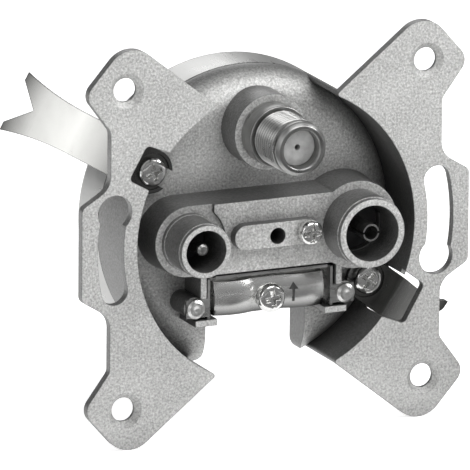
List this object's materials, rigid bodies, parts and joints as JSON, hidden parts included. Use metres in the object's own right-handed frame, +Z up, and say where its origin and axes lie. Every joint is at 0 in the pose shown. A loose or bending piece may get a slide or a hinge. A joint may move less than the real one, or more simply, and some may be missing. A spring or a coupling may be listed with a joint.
{
  "type": "coaxial splitter",
  "caption": "Flush-mount coaxial splitter outlet: cast support plate and can, a threaded port, two push-on ports, a cable clamp and two spreading claws.",
  "frame": {"origin": "where the can's axis meets the plane of the support plate's back, which lies on the wall", "axes": "+X right and +Z up seen from the room, -Y out of the wall along the ports"},
  "size_m": [0.0838, 0.0338, 0.0692],
  "materials": {
    "cast_zinc": "fine blasted zinc casting",
    "cover_steel": "smooth satin plating",
    "plated_brass": "turned and nickel plated",
    "contact_brass": "bright",
    "white_plastic": "satin",
    "dark_plastic": "satin",
    "claw_chrome": "bright",
    "screw_chrome": "bright",
    "saddle_chrome": "bright",
    "plated_sheet": "plated sheet",
    "rivet_zinc": "peened",
    "board_laminate": "solder resist",
    "ferrite": "matt",
    "copper_wire": "enamelled",
    "ceramic": "glazed"
  },
  "bodies": {
    "housing": {"housing": "cast_zinc", "rear_cover": "cover_steel", "f_barrel": "plated_brass", "f_insulator": "white_plastic", "f_contact": "contact_brass", "tv_insulator": "dark_plastic", "tv_pin": "plated_brass", "radio_insulator": "dark_plastic", "radio_contact": "plated_brass", "radio_spring_ring": "plated_brass", "clamp_frame": "plated_sheet", "clamp_rivet_left": "rivet_zinc", "clamp_rivet_right": "rivet_zinc", "pad_screw": "screw_chrome", "terminal_block": "dark_plastic", "core_contact_in": "contact_brass", "core_contact_out": "contact_brass", "circuit_board": "board_laminate", "splitter_core": "ferrite", "splitter_winding": "copper_wire", "coupler_core": "ferrite", "coupler_winding": "copper_wire", "filter_coil": "copper_wire", "capacitors": "ceramic"},
    "claw_upper": {"claw_upper": "claw_chrome"},
    "claw_lower": {"claw_lower": "claw_chrome"},
    "claw_screw_upper": {"claw_screw_upper": "screw_chrome"},
    "claw_screw_lower": {"claw_screw_lower": "screw_chrome"},
    "clamp_saddle": {"clamp_saddle": "saddle_chrome"},
    "clamp_screw": {"clamp_screw": "screw_chrome"}
  },
  "joints": [
    {"name": "claw_upper_swing", "type": "hinge", "parent": "housing", "child": "claw_upper", "pos_m": [-0.02517, 0.0057, 0.01433], "axis": [-0.4945, 0, -0.8691], "range_deg": [0, 40]},
    {"name": "claw_screw_upper_travel", "type": "slide", "parent": "housing", "child": "claw_screw_upper", "axis": [0, -1, 0], "range_m": [0, 0.0077]},
    {"name": "claw_lower_swing", "type": "hinge", "parent": "housing", "child": "claw_lower", "pos_m": [0.02474, 0.0057, -0.01498], "axis": [0.6052, 0, 0.7961], "range_deg": [0, 40]},
    {"name": "claw_screw_lower_travel", "type": "slide", "parent": "housing", "child": "claw_screw_lower", "axis": [0, -1, 0], "range_m": [0, 0.0077]},
    {"name": "saddle_travel", "type": "slide", "parent": "housing", "child": "clamp_saddle", "axis": [0, -1, 0], "range_m": [-0.0015, 0.004]},
    {"name": "clamp_screw_turn", "type": "hinge", "parent": "clamp_saddle", "child": "clamp_screw", "pos_m": [0, 0, -0.0114], "axis": [0, -1, 0], "range_deg": [-1081, 2881]}
  ],
  "couplings": [
    {"joint": "claw_screw_upper_travel", "follows": "claw_upper_swing", "m_per_rad": 0.010886},
    {"joint": "claw_screw_lower_travel", "follows": "claw_lower_swing", "m_per_rad": 0.010886},
    {"joint": "clamp_screw_turn", "follows": "saddle_travel", "rad_per_m": 12566}
  ]
}
